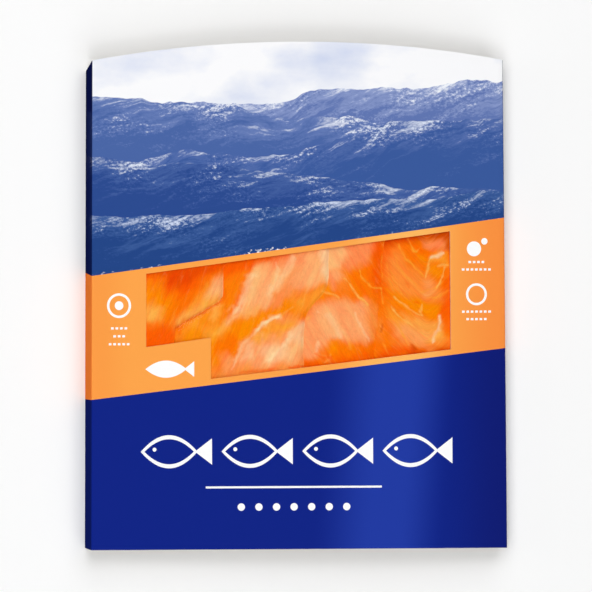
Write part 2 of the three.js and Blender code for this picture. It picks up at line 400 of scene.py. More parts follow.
def cut_window(bm, depth):
    """Cuts the window out of the flat front along its six edges."""
    cuts = [((x, 0, 0), (1, 0, 0)) for x in (WINDOW_LEFT, WINDOW_RIGHT, NOTCH_RIGHT)]
    for line in (WINDOW_TOP, WINDOW_BASE, WINDOW_NOTCH):
        start = (WINDOW_LEFT, window_line(line, WINDOW_LEFT), 0)
        cuts.append((start, (-line[1], 1, 0)))
    for point, normal in cuts:
        faces = [f for f in bm.faces if on_front(f, depth)]
        geom = list(dict.fromkeys(part for f in faces for part in (*f.verts, *f.edges, f)))
        bmesh.ops.bisect_plane(bm, geom=geom, dist=1e-4, plane_co=point, plane_no=normal)
    centres = ((f, f.calc_center_median()) for f in bm.faces if on_front(f, depth))
    hole = [f for f, c in centres if in_window(c.x, c.y)]
    bmesh.ops.delete(bm, geom=hole, context="FACES")


def shape_front(bm, sizes):
    """Gives the flat blank its arched top edge, its filled front and its narrower top."""
    depth, arch = sizes.depth / MM, sizes.arch / MM
    top_half = sizes.top_width / MM / 2
    radius = (top_half**2 + arch**2) / (2 * arch)
    corner_y = BOTTOM_Y + LENGTH - arch
    narrow = sizes.top_width / MM / WIDTH
    for v in bm.verts:
        scale = 1 + (narrow - 1) * (v.co.y - BOTTOM_Y) / (corner_y - BOTTOM_Y)
        x = v.co.x * scale
        if v.co.z > depth - 1e-3:
            share = max(0.0, (v.co.y - corner_y + ARCH_BLEND) / ARCH_BLEND)
            rise = math.sqrt(max(0.0, radius**2 - min(abs(x), top_half) ** 2)) - radius + arch
            v.co.z = float(front_height(v.co.x))
            v.co.y += rise * share**2
        v.co.x = x


def make_sleeve(sizes):
    """Folded card blank with rounded creases, as one open sheet."""
    depth = sizes.depth / MM
    bm = sleeve_strip(sizes)
    creases = [e for e in bm.edges if along_y(e) and len(e.link_faces) == 2]
    bmesh.ops.bevel(
        bm, geom=creases, offset=sizes.crease / MM, segments=CREASE_SEGMENTS, profile=0.5,
        affect="EDGES", material=-1,
    )
    long_edges = [e for e in bm.edges if along_y(e)]
    bmesh.ops.subdivide_edges(bm, edges=long_edges, cuts=FRONT_ROWS - 1, use_grid_fill=True)
    across = [e for e in bm.edges if not along_y(e) and on_front(e, depth)]
    across = [e for e in across if e.calc_length() > HALF]
    bmesh.ops.subdivide_edges(bm, edges=across, cuts=FRONT_COLUMNS - 1, use_grid_fill=True)
    cut_window(bm, depth)
    shape_front(bm, sizes)
    bmesh.ops.recalc_face_normals(bm, faces=bm.faces)
    top = max(bm.faces, key=lambda f: f.calc_center_median().z)
    if top.normal.z < 0:
        bmesh.ops.reverse_faces(bm, faces=bm.faces)
    return bm


# ---- Print ---------------------------------------------------------------------------------------

BAND_TOP = (137.4, 0.1341, 0.13)  # height on the middle line, slope, and rise per mm down a spine
BAND_BASE = (79.6, 0.1174, 0.03)
PRINT_EDGE = 0.12  # softness of an ink edge, millimetres
WHITE = linear("#FFFFFF")
# painted shade: the deeper print on the spines and the back stands in for the shade on them; the
# front's navy and orange are multiplied by these factors there
SIDE_PAINTED_SHADE = (0.95, 0.65, 0.54, 1.0)  # the spines and the back are printed deeper
# Where the painted highlight and the painted shade at the print's ends rise and fall along x, in
# millimetres
PAINTED_HIGHLIGHT_RISE, PAINTED_HIGHLIGHT_FALL, PAINTED_SHADE, LEFT_PAINTED_SHADE = (7.6, 37), (48, 71), (62, 96), (-77, -95)
PAINTED_HIGHLIGHT_LEAN, PAINTED_HIGHLIGHT_FOOT = 0.085, 40  # how far it leans right with height, and from what height
SKY_RISE = (190, 200)  # above this the spines are plain blue, below it the swells run on

SKY, CLOUD = linear("#FBFBFD"), linear("#C5D0EC")
# Rolling swells from far to near: crest height, tilt, wave height, wave length, then the inks of
# the trough, the face and the crest
SWELLS = (
    (206, 0.060, 9.0, 52, "#6076B2", "#8C9CCB", "#F2F5FC"),
    (196, -0.110, 8.0, 64, "#4A66A6", "#6A80B9", "#E8ECF7"),
    (184, 0.135, 9.0, 58, "#3A5A9D", "#566FAD", "#DCE3F3"),
    (170, -0.080, 7.0, 70, "#2C4B90", "#4A66A5", "#DFE6F4"),
    (156, 0.060, 5.0, 58, "#244687", "#3F609D", "#CFD9EF"),
)

TITLE_ROW = (-2.6, 37.6, 4)  # centre x, pitch and count of the outlined fish
TITLE_Y = 44.5
TITLE_FISH = (13.2, 7.5, 1.8)  # reach, half height and line width
TITLE_FISH_SHIFT = -2.2
TITLE_EYE = (-9.0, 1.0)
TITLE_EYE_RADIUS = 0.9
BAND_FISH = ((-62.5, 82.0), 9.6, 3.9)  # centre, reach and half height
TAIL_SPREAD, TAIL_ROOT, TAIL_LENGTH = 0.75, 1.2, 0.9
RULE = ((-3.1, 28.2), (41.1, 0.45))
DOT_ROW, DOT_Y, DOT_RADIUS = (-3.1, 8.2, 7), 19.2, 1.7
# Round signs beside the window: centre, radius and line width
SIGNS = (
    ((-84.3, 110.9), 5.6, 1.1), ((-84.3, 110.9), 2.0, 0),
    ((82.2, 136.2), 3.4, 0), ((87.2, 139.6), 1.5, 0), ((83.3, 115.5), 5.0, 1.1),
)
# Rows of small plain dashes under the signs: centre x, height and count
DASH_ROWS = (
    (-84.3, 100.6, 4), (-84.3, 97.0, 3), (-84.3, 93.4, 5),
    (83.3, 130.2, 4), (83.3, 126.8, 7), (83.3, 107.6, 7), (83.3, 104.2, 5),
)
DASH_PITCH, DASH = 2.1, (0.62, 0.5)  # and a dash's half sizes


def crisp(node, value):
    """1 where value is above 0 and 0 where it's below, with a soft ink edge."""
    return node("Math", value, 1 / PRINT_EDGE, 0.5, operation="MULTIPLY_ADD", use_clamp=True)


def band_line(node, x, behind, line):
    """Height of one of the band's edges at x, carried round behind the folds."""
    height, slope, rise = line
    flat = node("Math", x, slope, height, operation="MULTIPLY_ADD")
    return node("Math", behind, rise, flat, operation="MULTIPLY_ADD")


def swell_picture(node, x, y):
    """A generic picture of rolling swells under a pale sky, in blue inks."""
    flat = node("CombineXYZ", node("Math", x, 0.6, operation="MULTIPLY"), y)
    haze = node("TexNoise", Vector=flat, Scale=0.035, Detail=5.0)
    picture = node("ValToRGB", haze, stops=[(0.44, SKY), (0.78, CLOUD)])
    # broken water: fine flecks, livelier in some stretches than in others
    spray = node("TexNoise", Vector=flat, Scale=0.95, Detail=4.0, Roughness=0.75)
    stretch = node("TexNoise", Vector=flat, Scale=0.06, Detail=3.0)
    lively = node("Math", stretch, 6.0, -2.6, operation="MULTIPLY_ADD", use_clamp=True)
    lively = node("Math", lively, 1.5, 0.3, operation="MULTIPLY_ADD")
    flecks = node("Math", spray, -0.5, operation="ADD")
    flecks = node("Math", flecks, lively, operation="MULTIPLY")
    for seed, (height, tilt, wave, length, *inks) in enumerate(SWELLS):
        along = node("Math", x, 1 / length, 7.3 * seed, operation="MULTIPLY_ADD")
        drift = node(
            "TexNoise", W=along, Scale=1.0, Detail=4.0, Roughness=0.55, noise_dimensions="1D"
        )
        crest = node("Math", drift, 2 * wave, height - wave, operation="MULTIPLY_ADD")
        crest = node("Math", crest, node("Math", x, tilt, operation="MULTIPLY"), operation="ADD")
        below = node("Math", crest, y, operation="SUBTRACT")
        # streaks run down the face of a swell and slant with it
        slant = node("Math", x, 0.35, operation="MULTIPLY")
        across = node("Math", below, 0.9, slant, operation="MULTIPLY_ADD")
        down = node("Math", below, 0.55, operation="MULTIPLY")
        streak = node(
            "TexNoise", Vector=node("CombineXYZ", across, down, 3.1 * seed), Scale=0.22,
            Detail=9.0, Roughness=0.68, Distortion=0.6,
        )
        shade = node("Math", streak, 1.7, -0.5, operation="MULTIPLY_ADD")
        foam = node("Math", below, -0.022, 0.16, operation="MULTIPLY_ADD")
        for light in (foam, flecks):
            shade = node("Math", shade, light, operation="ADD")
        stops = zip((0.18, 0.5, 0.78), (linear(ink) for ink in inks))
        colour = node("ValToRGB", shade, stops=stops)
        picture = node("Mix", crisp(node, below), picture, colour, data_type="RGBA")
    return picture


def glints(node, x, y, band_top):
    """White sparkles on the water, thickest just above the band."""
    flat = node("CombineXYZ", node("Math", x, 0.55, operation="MULTIPLY"), y)
    noise = node("TexNoise", Vector=flat, Scale=0.9, Detail=3.0)
    patch = node("TexNoise", Vector=flat, Scale=0.05)
    above = node("Math", y, band_top, operation="SUBTRACT")
    near = node("Math", above, -1 / 26, 0.34, operation="MULTIPLY_ADD", use_clamp=True)
    level = node("Math", noise, patch, operation="MULTIPLY")
    level = node("Math", level, near, operation="MULTIPLY")
    level = node("Math", level, -0.112, operation="ADD")
    return node("Math", level, 40.0, operation="MULTIPLY", use_clamp=True)


def box_mark(node, x, y, centre, half):
    """A plain bar."""
    inside = []
    for axis, middle, reach in zip((x, y), centre, half):
        depth = node("Math", reach, away_from(node, axis, middle), operation="SUBTRACT")
        inside.append(crisp(node, depth))
    return node("Math", *inside, operation="MULTIPLY")


def filled(node, inside, line):
    """Ink over a shape from the distance inside its edge, or along that edge by a line width."""
    if line:
        inside = node("Math", line / 2, away_from(node, inside, line / 2), operation="SUBTRACT")
    return crisp(node, inside)


def disc_mark(node, x, y, centre, radius, line=0.0):
    """A dot, or a ring where a line width is given."""
    sides = []
    for axis, middle in zip((x, y), centre):
        side = node("Math", axis, -middle, operation="ADD")
        sides.append(node("Math", side, 2.0, operation="POWER"))
    away = node("Math", node("Math", *sides, operation="ADD"), operation="SQRT")
    return filled(node, node("Math", radius, away, operation="SUBTRACT"), line)


def fish_mark(node, x, y, centre, reach, height, line=0.0):
    """A plain fish shape with its head to the left, outlined where a line width is given."""
    along = node("Math", x, -centre[0], operation="ADD")
    up = away_from(node, y, centre[1])
    share = node("Math", along, 1 / reach, operation="MULTIPLY")
    share = node("Math", share, 2.0, operation="POWER")
    body = node("Math", share, -height, height, operation="MULTIPLY_ADD")
    body = node("Math", body, up, operation="SUBTRACT")
    root = -TAIL_SPREAD * (reach - TAIL_ROOT)
    fan = node("Math", along, TAIL_SPREAD, root, operation="MULTIPLY_ADD")
    fan = node("Math", fan, up, operation="SUBTRACT")
    end = node("Math", reach + height * TAIL_LENGTH, along, operation="SUBTRACT")
    tail = node("Math", crisp(node, fan), crisp(node, end), operation="MULTIPLY")
    return node("Math", filled(node, body, line), tail, operation="MAXIMUM")


def repeat_along(node, x, centre, pitch, count):
    """x wrapped to one cell of a row, and a mask that holds the row's cells."""
    half = pitch * count / 2
    local = node("Math", x, half - centre, operation="ADD")
    local = node("Math", local, pitch, 0.0, operation="WRAP")
    inside = node("Math", half, away_from(node, x, centre), operation="SUBTRACT")
    return local, crisp(node, inside)


def white_marks(node, x, y):
    """Plain white shapes of the print: fish, rule, dots and small signs. None is lettering."""
    cell, row = repeat_along(node, x, *TITLE_ROW)
    middle = TITLE_ROW[1] / 2
    fish = fish_mark(node, cell, y, (middle + TITLE_FISH_SHIFT, TITLE_Y), *TITLE_FISH)
    eye_place = (middle + TITLE_EYE[0], TITLE_Y + TITLE_EYE[1])
    eye = disc_mark(node, cell, y, eye_place, TITLE_EYE_RADIUS)
    title = node("Math", fish, eye, operation="MAXIMUM")
    marks = [node("Math", title, row, operation="MULTIPLY"), box_mark(node, x, y, *RULE)]
    cell, row = repeat_along(node, x, *DOT_ROW)
    dot = disc_mark(node, cell, y, (DOT_ROW[1] / 2, DOT_Y), DOT_RADIUS)
    marks.append(node("Math", dot, row, operation="MULTIPLY"))
    marks.append(fish_mark(node, x, y, *BAND_FISH))
    marks += [disc_mark(node, x, y, *sign) for sign in SIGNS]
    for centre, height, count in DASH_ROWS:
        cell, row = repeat_along(node, x, centre, DASH_PITCH, count)
        dash = box_mark(node, cell, y, (DASH_PITCH / 2, height), DASH)
        marks.append(node("Math", dash, row, operation="MULTIPLY"))
    joined = marks[0]
    for mark in marks[1:]:
        joined = node("Math", joined, mark, operation="MAXIMUM")
    return joined


def printed_card(name, colours, depth, shine, roughness):
    """Solid bleached board, offset printed and sealed with a varnish: flat inks, an even soft
    shine, and a very faint paper tooth under it. A painted highlight lightens the inks in an
    upright stripe right of the middle. Painted shade darkens them towards the right fold, and the
    orange also towards the left fold. Past the creases, on the spines and the back, the navy and
    orange inks are darkened as painted shade."""
    material, node = new_material(name)
    place = object_mm(node, BOTTOM_Y)
    x, y, z = node("SeparateXYZ", place).outputs
    behind = node("Math", depth, z, operation="SUBTRACT")
    behind = node("Math", behind, 0.0, operation="MAXIMUM")
    # 0 on the front, and 1 from a little way past its creases
    side = node("Math", behind, 4.0, -0.6, operation="MULTIPLY_ADD", use_clamp=True)
    band_top, band_base = (band_line(node, x, behind, line) for line in (BAND_TOP, BAND_BASE))
    over_top, over_base = (
        crisp(node, node("Math", y, line, operation="SUBTRACT")) for line in (band_top, band_base)
    )

    unrolled = node("Math", x, operation="SIGN")
    unrolled = node("Math", unrolled, behind, x, operation="MULTIPLY_ADD")
    picture = swell_picture(node, unrolled, y)
    sparkle = glints(node, unrolled, y, band_top)
    picture = node("Mix", sparkle, picture, WHITE, data_type="RGBA")
    # past the creases the swells show faintly through plain blue, and soon end
    wrapped = node("Math", behind, 0.01, 0.88, operation="MULTIPLY_ADD", use_clamp=True)
    plain = node("MapRange", y, *SKY_RISE, interpolation_type="SMOOTHSTEP")
    wrapped = node("Math", wrapped, plain, operation="MAXIMUM")
    wrapped = node("Math", wrapped, side, operation="MULTIPLY")
    picture = node("Mix", wrapped, picture, colours.back_navy, data_type="RGBA")

    # painted highlight: a lighter upright stripe right of the middle that leans with height; painted
    # shade: darker towards the right fold, and for the orange towards the left fold too
    lean = node("Math", y, -PAINTED_HIGHLIGHT_LEAN, PAINTED_HIGHLIGHT_LEAN * PAINTED_HIGHLIGHT_FOOT, operation="MULTIPLY_ADD")
    leaned = node("Math", x, lean, operation="ADD")
    rise, fall, painted_shade, left_painted_shade = (
        node("MapRange", value, *ends, interpolation_type="SMOOTHSTEP")
        for value, ends in ((leaned, PAINTED_HIGHLIGHT_RISE), (leaned, PAINTED_HIGHLIGHT_FALL), (x, PAINTED_SHADE), (x, LEFT_PAINTED_SHADE))
    )
    painted_highlight = node("Math", rise, fall, operation="SUBTRACT")
    navy, orange = colours.navy, colours.orange
    # lighter inks for the painted highlight, darker ones for the painted shade
    for share, ink in ((painted_highlight, "#223BA3"), (painted_shade, "#101D74")):
        navy = node("Mix", share, navy, linear(ink), data_type="RGBA")
    for share, ink in ((painted_highlight, "#FFB962"), (left_painted_shade, "#FC9D47"), (painted_shade, "#FC9241")):
        orange = node("Mix", share, orange, linear(ink), data_type="RGBA")
    inks = node("Mix", over_base, navy, orange, data_type="RGBA")
    # painted shade: past the creases the navy and orange inks are darkened, as if the spines and the
    # back were in shade
    inks = node("Mix", side, inks, SIDE_PAINTED_SHADE, data_type="RGBA", blend_type="MULTIPLY")
    inks = node("Mix", over_top, inks, picture, data_type="RGBA")
    front = node("Math", 1.0, side, operation="SUBTRACT")
    white = node("Math", white_marks(node, x, y), front, operation="MULTIPLY")
    inks = node("Mix", white, inks, WHITE, data_type="RGBA")

    tooth = node("TexNoise", Vector=place, Scale=1.6, Detail=4.0)
    gloss = node("Math", tooth, 0.06, roughness, operation="MULTIPLY_ADD")
    bump = node("Bump", Strength=0.03, Distance=0.00005, Height=tooth)
    shader = node(
        "BsdfPrincipled", Base_Color=inks, Roughness=gloss, Normal=bump, IOR=1.48,
        Specular_IOR_Level=shine,
    )
    node("OutputMaterial", shader)
    return material


def bare_board(name, colour, roughness):
    """Unprinted solid bleached board: matt, faintly mottled fibres."""
    material, node = new_material(name)
    fibre = node("TexNoise", Vector=object_mm(node), Scale=0.9, Detail=6.0)
    tint = node("ValToRGB", fibre, stops=[(0.3, linear(colour)), (0.75, linear("#F6F3EC"))])
    bump = node("Bump", Strength=0.15, Distance=0.0001, Height=fibre)
    shader = node("BsdfPrincipled", Base_Color=tint, Roughness=roughness, Normal=bump)
    node("OutputMaterial", shader)
    return material


class PACK_OT_card_sleeve(bpy.types.Operator):
    """Folds the printed card sleeve with its arched top and notched window"""

    bl_idname = "pack.card_sleeve"
    bl_label = "Card sleeve"

    def execute(self, context):
        sizes = context.scene.sleeve_sizes
        bm = make_sleeve(sizes)
        for face in bm.faces:
            if face.calc_center_median().z < sizes.depth / MM - 0.01:
                face.material_index = 1
        colours, depth = context.scene.pack_colours, sizes.depth / MM
        front = printed_card("offset_printed_card_satin_varnish", colours, depth, 0.28, 0.12)
        sides = printed_card("offset_printed_card_matt_varnish", colours, depth, 0.0, 0.5)
        inside = bare_board("uncoated_board_inside", "#E4DFD2", 0.85)
        cut = bare_board("die_cut_board_edge", "#D9D2C2", 0.9)
        # the board's inside and its cut edges follow both prints, two and four slots on
        piece = finish_piece(bm, "printed_sleeve", [front, sides, inside, inside, cut, cut])
        add_wall(piece, sizes.card, 35, material_offset=2, material_offset_rim=4)
        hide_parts("card_sleeve")
        return {"FINISHED"}


# ---- Salmon slices -------------------------------------------------------------------------------

# rust below is used only for painted shadow
TINTS = {
    "rust": linear("#CB4400"),
    "deep": linear("#E44400"),
    "red": linear("#FC5A00"),
    "orange": linear("#FF7400"),
    "amber": linear("#FF8B00"),
    "gold": linear("#FFA22E"),
    "straw": linear("#FFB554"),
    "blush": linear("#FF8E36"),
    "rose": linear("#FF8C52"),
    "pink": linear("#FFA264"),
    "peach": linear("#FFB876"),
    "cream": linear("#FFD09A"),
}

# Soft-edged patches of the flesh, for each slice from the left, laid on in order: tint, softness
# of the edge, strength and outline, in millimetres on the pack. The darker patches marked below
# are painted shadow along the window's edges and beside the top slice's edge.
PATCHES = (
    (
        ("amber", 3, 0.85, ((-75, 4), (-66, 3), (-61, -1), (-56, -3), (-58, -8), (-63, -11),
            (-67, -12), (-75, -12))),
        ("straw", 2.4, 0.7, ((-75, -6), (-69, -4), (-65, -6), (-65, -12), (-69, -13), (-75, -12))),
        # painted shadow: the next red and deep patches darken the flesh towards the window's top edge,
        # under the card's edge
        ("red", 2.4, 0.9, ((-64, 9), (-62, 1), (-57, 0), (-50, 1), (-47, 3), (-45, 6), (-43, 9),
            (-38, 13), (-36, 15), (-64, 12))),
        ("deep", 2, 0.7, ((-62, 13), (-62, 5), (-56, 4), (-50, 6), (-46, 9), (-41, 11), (-34, 12),
            (-34, 17), (-62, 14))),
        ("deep", 1.5, 0.7, ((-75, 11), (-75, 8), (-66, 8), (-62, 9), (-60, 13))),
        ("orange", 2.4, 0.8, ((-61, 0), (-48, 2), (-46, -2), (-52, -5), (-58, -10), (-63, -12),
            (-61, -6))),
        ("red", 2.2, 0.9, ((-75, -14), (-66, -14), (-62, -14), (-58, -17), (-55, -23), (-75, -27))),
        ("peach", 1.5, 0.9, ((-34, 8), (-38, 8), (-41, 5), (-44, 1), (-45, -2), (-40, -2), (-34, -1))),
        ("straw", 1.5, 0.8, ((-34, -1), (-40, -2), (-46, -2), (-50, -5), (-56, -10), (-60, -14),
            (-57, -14), (-50, -10), (-44, -7), (-39, -4), (-34, -2))),
        ("pink", 1.8, 0.85, ((-34, 10), (-38, 9), (-40, 5), (-38, 3), (-34, 2))),
        ("gold", 2, 0.5, ((-47, -2), (-43, 2), (-39, 1), (-37, -3), (-44, -7))),
        ("orange", 2, 0.4, ((-51, -2), (-46, -1), (-46, -6), (-51, -7))),
    ),
    (
        ("gold", 1.6, 0.6, ((-36, 0), (-41, -4), (-48, -8), (-60, -14), (-60, -24), (-41, -20),
            (-38, -14), (-36, -8))),
        ("orange", 2, 0.8, ((-61, -11), (-55, -12), (-51, -10), (-52, -14), (-53, -20), (-61, -22))),
        ("amber", 2, 0.5, ((-50, -8), (-42, -5), (-36, -2), (-36, -7), (-42, -9), (-50, -12))),
        ("amber", 2, 0.9, ((-54, -16), (-46, -15), (-42, -17), (-45, -21), (-54, -22))),
        ("amber", 1.6, 0.6, ((-52, -10), (-44, -9), (-40, -12), (-46, -14))),
        ("straw", 1.6, 0.6, ((-40, -5), (-36, -5), (-39, -10), (-42, -10))),
        # painted shadow: red along the window's top edge
        ("red", 1.8, 0.9, ((-37, 17), (-37, 8), (-33, 9), (-28, 10), (-21, 12), (-17, 14), (-5, 16),
            (-5, 21))),
        # painted shadow of the top slice's edge on this slice
        ("red", 1.6, 0.6, ((-37, 10), (-34, 2), (-34, -2), (-37, -3))),
        ("amber", 2, 0.6, ((-33, 5), (-30, 5), (-31, -6), (-35, -7))),
        ("peach", 1.4, 0.95, ((-21, 13), (-22, 9), (-25, 3), (-26, -3), (-29, -8), (-35, -13),
            (-40, -18), (-37, -18), (-33, -15), (-30, -11), (-24, -9), (-18, -7), (-13, -5), (-12, 0),
            (-9, 4), (-5, 8), (0, 13), (0, 18), (-10, 15))),
        ("pink", 2.2, 0.7, ((-20, 14), (-19, 11), (-14, 10), (-11, 15))),
        ("pink", 2, 0.6, ((-22, -3), (-14, -1), (-8, -3), (-9, -6), (-20, -8), (-27, -7))),
        ("pink", 2.2, 0.9, ((0, 20), (16, 22), (15, 8), (9, 6), (3, 3), (-3, 2), (-6, 6), (-2, 12))),
        ("peach", 2.6, 0.65, ((0, 19), (15, 21), (15, 6), (10, 5), (4, 4), (0, 8))),
        ("rose", 2.4, 0.75, ((-13, 17), (-4, 18), (2, 19), (2, 14), (-5, 12), (-12, 12))),
        ("cream", 1.5, 0.85, ((10, 22), (16, 22), (16, 6), (12, 6), (10, 11))),
        ("pink", 2.2, 0.55, ((-10, 5), (-5, 8), (-2, 3), (-4, -2), (-8, -3), (-12, -2))),
        ("amber", 1.7, 0.95, ((-13, -6), (-18, -8), (-24, -10), (-30, -12), (-33, -15), (-38, -18),
            (-43, -20), (-43, -31), (-37, -30), (-33, -26), (-28, -22), (-24, -18), (-20, -14),
            (-15, -11), (-10, -10), (-6, -8), (-3, -9), (3, -11), (6, -5), (14, 2), (15, 5), (9, 2),
            (3, 0), (-3, -2), (-7, -4))),
        ("gold", 2, 0.8, ((-44, -22), (-37, -20), (-32, -16), (-34, -12), (-43, -16))),
        ("orange", 2, 0.8, ((-38, -19), (-30, -18), (-26, -21), (-33, -27), (-38, -30), (-39, -24))),
        ("blush", 2.4, 0.5, ((-43, -31), (-36, -31), (-36, -38), (-43, -38))),
        ("pink", 2.2, 0.65, ((-36, -29), (-33, -27), (-28, -29), (-28, -37), (-36, -38))),
        ("pink", 1.6, 0.95, ((-24, -19), (-18, -14), (-12, -11), (-7, -10), (-2, -10), (4, -13),
            (3, -35), (-15, -36), (-31, -37), (-29, -29), (-26, -23))),
        ("blush", 2.4, 0.95, ((-16, -13), (-8, -11), (-1, -10), (-3, -16), (-9, -19), (-14, -17))),
        ("gold", 2.2, 0.85, ((-25, -20), (-18, -15), (-12, -12), (-1, -11), (-2, -16), (-12, -18),
            (-19, -21))),
        ("cream", 2.2, 0.5, ((-26, -22), (-23, -22), (-22, -28), (-27, -29))),
        ("gold", 2, 0.4, ((-30, -12), (-24, -5), (-18, -5), (-18, -8), (-26, -11))),
        ("blush", 2.2, 0.6, ((-30, -31), (-22, -32), (-22, -37), (-30, -37))),
        ("peach", 1.8, 0.85, ((-15, -32), (-12, -27), (-7, -22), (-2, -18), (3, -14), (3, -24),
            (-2, -27), (-8, -30))),
        ("cream", 1.8, 0.55, ((-3, -16), (3, -13), (3, -23), (-3, -21))),
        ("cream", 2, 0.55, ((-18, -23), (-11, -22), (-6, -23), (-5, -28), (-9, -32), (-14, -31),
            (-18, -27))),
        ("blush", 1.6, 0.8, ((-43, -36), (-20, -33), (3, -30), (3, -36), (-43, -39))),
        ("straw", 2.2, 0.25, ((-4, 0), (3, 2), (12, 5), (12, -3), (6, -8), (-2, -8))),
    ),
    (
        ("peach", 1.8, 0.95, ((11, 22), (24, 24), (23, 16), (20, 12), (17, 11), (13, 9), (11, 12))),
        ("pink", 1.8, 0.95, ((12, 10), (18, 12), (20, 9), (19, 6), (16, 4), (12, 5))),
        ("rose", 2.4, 0.9, ((22, 24), (36, 26), (35, 19), (31, 15), (26, 13), (21, 12))),
        ("amber", 1.6, 0.75, ((8, 5), (14, 6), (15, 1), (9, 0))),
        ("pink", 2.2, 0.95, ((4, -9), (6, -5), (10, -2), (17, -2), (24, -2), (31, -3), (34, -8),
            (36, -14), (34, -21), (28, -22), (20, -20), (15, -22), (8, -28), (-1, -31), (-1, -20),
            (1, -14))),
        ("peach", 2.4, 0.85, ((12, -4), (16, -6), (17, -12), (20, -19), (13, -19), (8, -12))),
        ("peach", 2, 0.3, ((22, -9), (26, -9), (30, -15), (32, -19), (25, -18))),
        ("blush", 2.2, 0.8, ((31, -3), (36, -5), (38, -14), (39, -20), (33, -20), (31, -12))),
        ("red", 2.6, 0.9, ((34, 25), (40, 27), (40, -10), (38, -10), (37, 0), (34, 3), (33, 10),
            (34, 16))),
        ("orange", 1.6, 0.4, ((37, -4), (41, -4), (41, -26), (36, -24), (38, -15))),
        ("orange", 2.2, 0.8, ((22, 8), (27, 12), (33, 13), (33, 3), (30, -2), (24, -2), (20, 0))),
        ("blush", 2, 0.5, ((18, 6), (22, 7), (23, 1), (18, 2))),
        ("orange", 2, 0.85, ((-2, -32), (8, -28), (15, -24), (20, -22), (28, -23), (35, -22),
            (39, -20), (39, -32), (-2, -37))),
        ("blush", 2, 0.5, ((8, -23), (14, -23), (13, -28), (8, -28))),
        ("amber", 1.8, 0.9, ((14, -21), (18, -20), (19, -24), (16, -27), (14, -25))),
        # painted shadow: red along the window's bottom edge
        ("red", 1.6, 0.75, ((-2, -31), (3, -30), (12, -30), (20, -29), (28, -26), (39, -26), (39, -31),
            (-2, -36))),
    ),
    (
        ("blush", 3, 0.95, ((38, 20), (45, 20), (52, 14), (57, 9), (60, 3), (57, -2), (50, -1),
            (44, 2), (41, 8), (40, 14))),
        ("red", 2.8, 0.65, ((36, 26), (43, 25), (42, 12), (41, -1), (36, -3))),
        ("orange", 1.8, 0.95, ((47, 24), (52, 27), (60, 25), (62, 18), (60, 12), (58, 9), (53, 14),
            (50, 18))),
        ("amber", 1.8, 0.85, ((56, 18), (60, 18), (60, 13), (56, 14))),
        # painted shadow: deep along the window's top edge, and the two rust patches after it in its top
        # right corner
        ("deep", 1.8, 0.9, ((36, 28), (73, 33), (73, 27), (62, 26), (52, 24), (45, 22), (36, 22))),
        ("rose", 1.7, 0.9, ((58, 24), (64, 25), (69, 25), (70, 20), (62, 20), (59, 22))),
        ("rust", 2, 0.5, ((53, 28), (60, 29), (60, 24), (54, 23))),
        ("rust", 1.8, 0.8, ((61, 33), (73, 33), (73, 18), (70, 20), (69, 24), (62, 26))),
        ("gold", 1.4, 0.7, ((62, 18), (70, 18), (71, 14), (62, 14))),
        ("amber", 1.4, 0.95, ((61, 13), (68, 12), (66, 8), (63, 8), (60, 10))),
        ("amber", 1.4, 0.8, ((67, 8), (72, 8), (72, -1), (66, 1), (66, 5))),
        ("blush", 2.2, 0.85, ((57, 8), (60, 9), (65, 4), (70, 0), (68, -3), (60, -3), (56, -1),
            (58, 3))),
        ("pink", 2, 0.4, ((58, 7), (63, 5), (63, -2), (58, -2))),
        ("pink", 2, 0.4, ((57, -18), (64, -19), (63, -24), (57, -24))),
        ("amber", 1.7, 0.98, ((42, 2), (48, 0), (55, -2), (60, -4), (66, -4), (66, -12), (60, -12),
            (58, -10), (52, -8), (46, -4))),
        ("gold", 2, 0.9, ((43, -6), (48, -11), (54, -15), (60, -19), (62, -21), (64, -16), (67, -13),
            (69, -19), (66, -22), (55, -22), (47, -18), (42, -10))),
        ("straw", 1.8, 0.65, ((48, -8), (52, -9), (58, -12), (62, -13), (67, -13), (68, -20),
            (63, -22), (57, -18), (50, -12))),
        ("pink", 2.2, 0.65, ((42, -13), (50, -13), (56, -17), (61, -20), (60, -23), (54, -23),
            (44, -21))),
        ("orange", 1.8, 0.85, ((36, -8), (42, -8), (45, -16), (50, -23), (36, -24))),
        ("blush", 2, 0.5, ((35, -10), (40, -10), (40, -21), (35, -22))),
        # painted shadow: red along the window's right edge
        ("red", 1.6, 0.8, ((67, 8), (73, 10), (73, -17), (69, -15), (66, -12), (66, -4))),
        ("orange", 2, 0.5, ((68, -11), (73, -11), (73, -22), (68, -20))),
        # painted shadow: red, and deep after it, along the window's bottom edge
        ("red", 1.7, 0.9, ((36, -26), (47, -22), (52, -24), (56, -26), (36, -31))),
        ("blush", 2, 0.5, ((46, -20), (52, -20), (52, -24), (46, -24))),
        ("deep", 1.6, 0.75, ((52, -23), (56, -26), (73, -23), (73, -28), (50, -29))),
        ("blush", 1.6, 0.6, ((60, -22), (73, -20), (73, -23), (62, -24))),
    ),
)
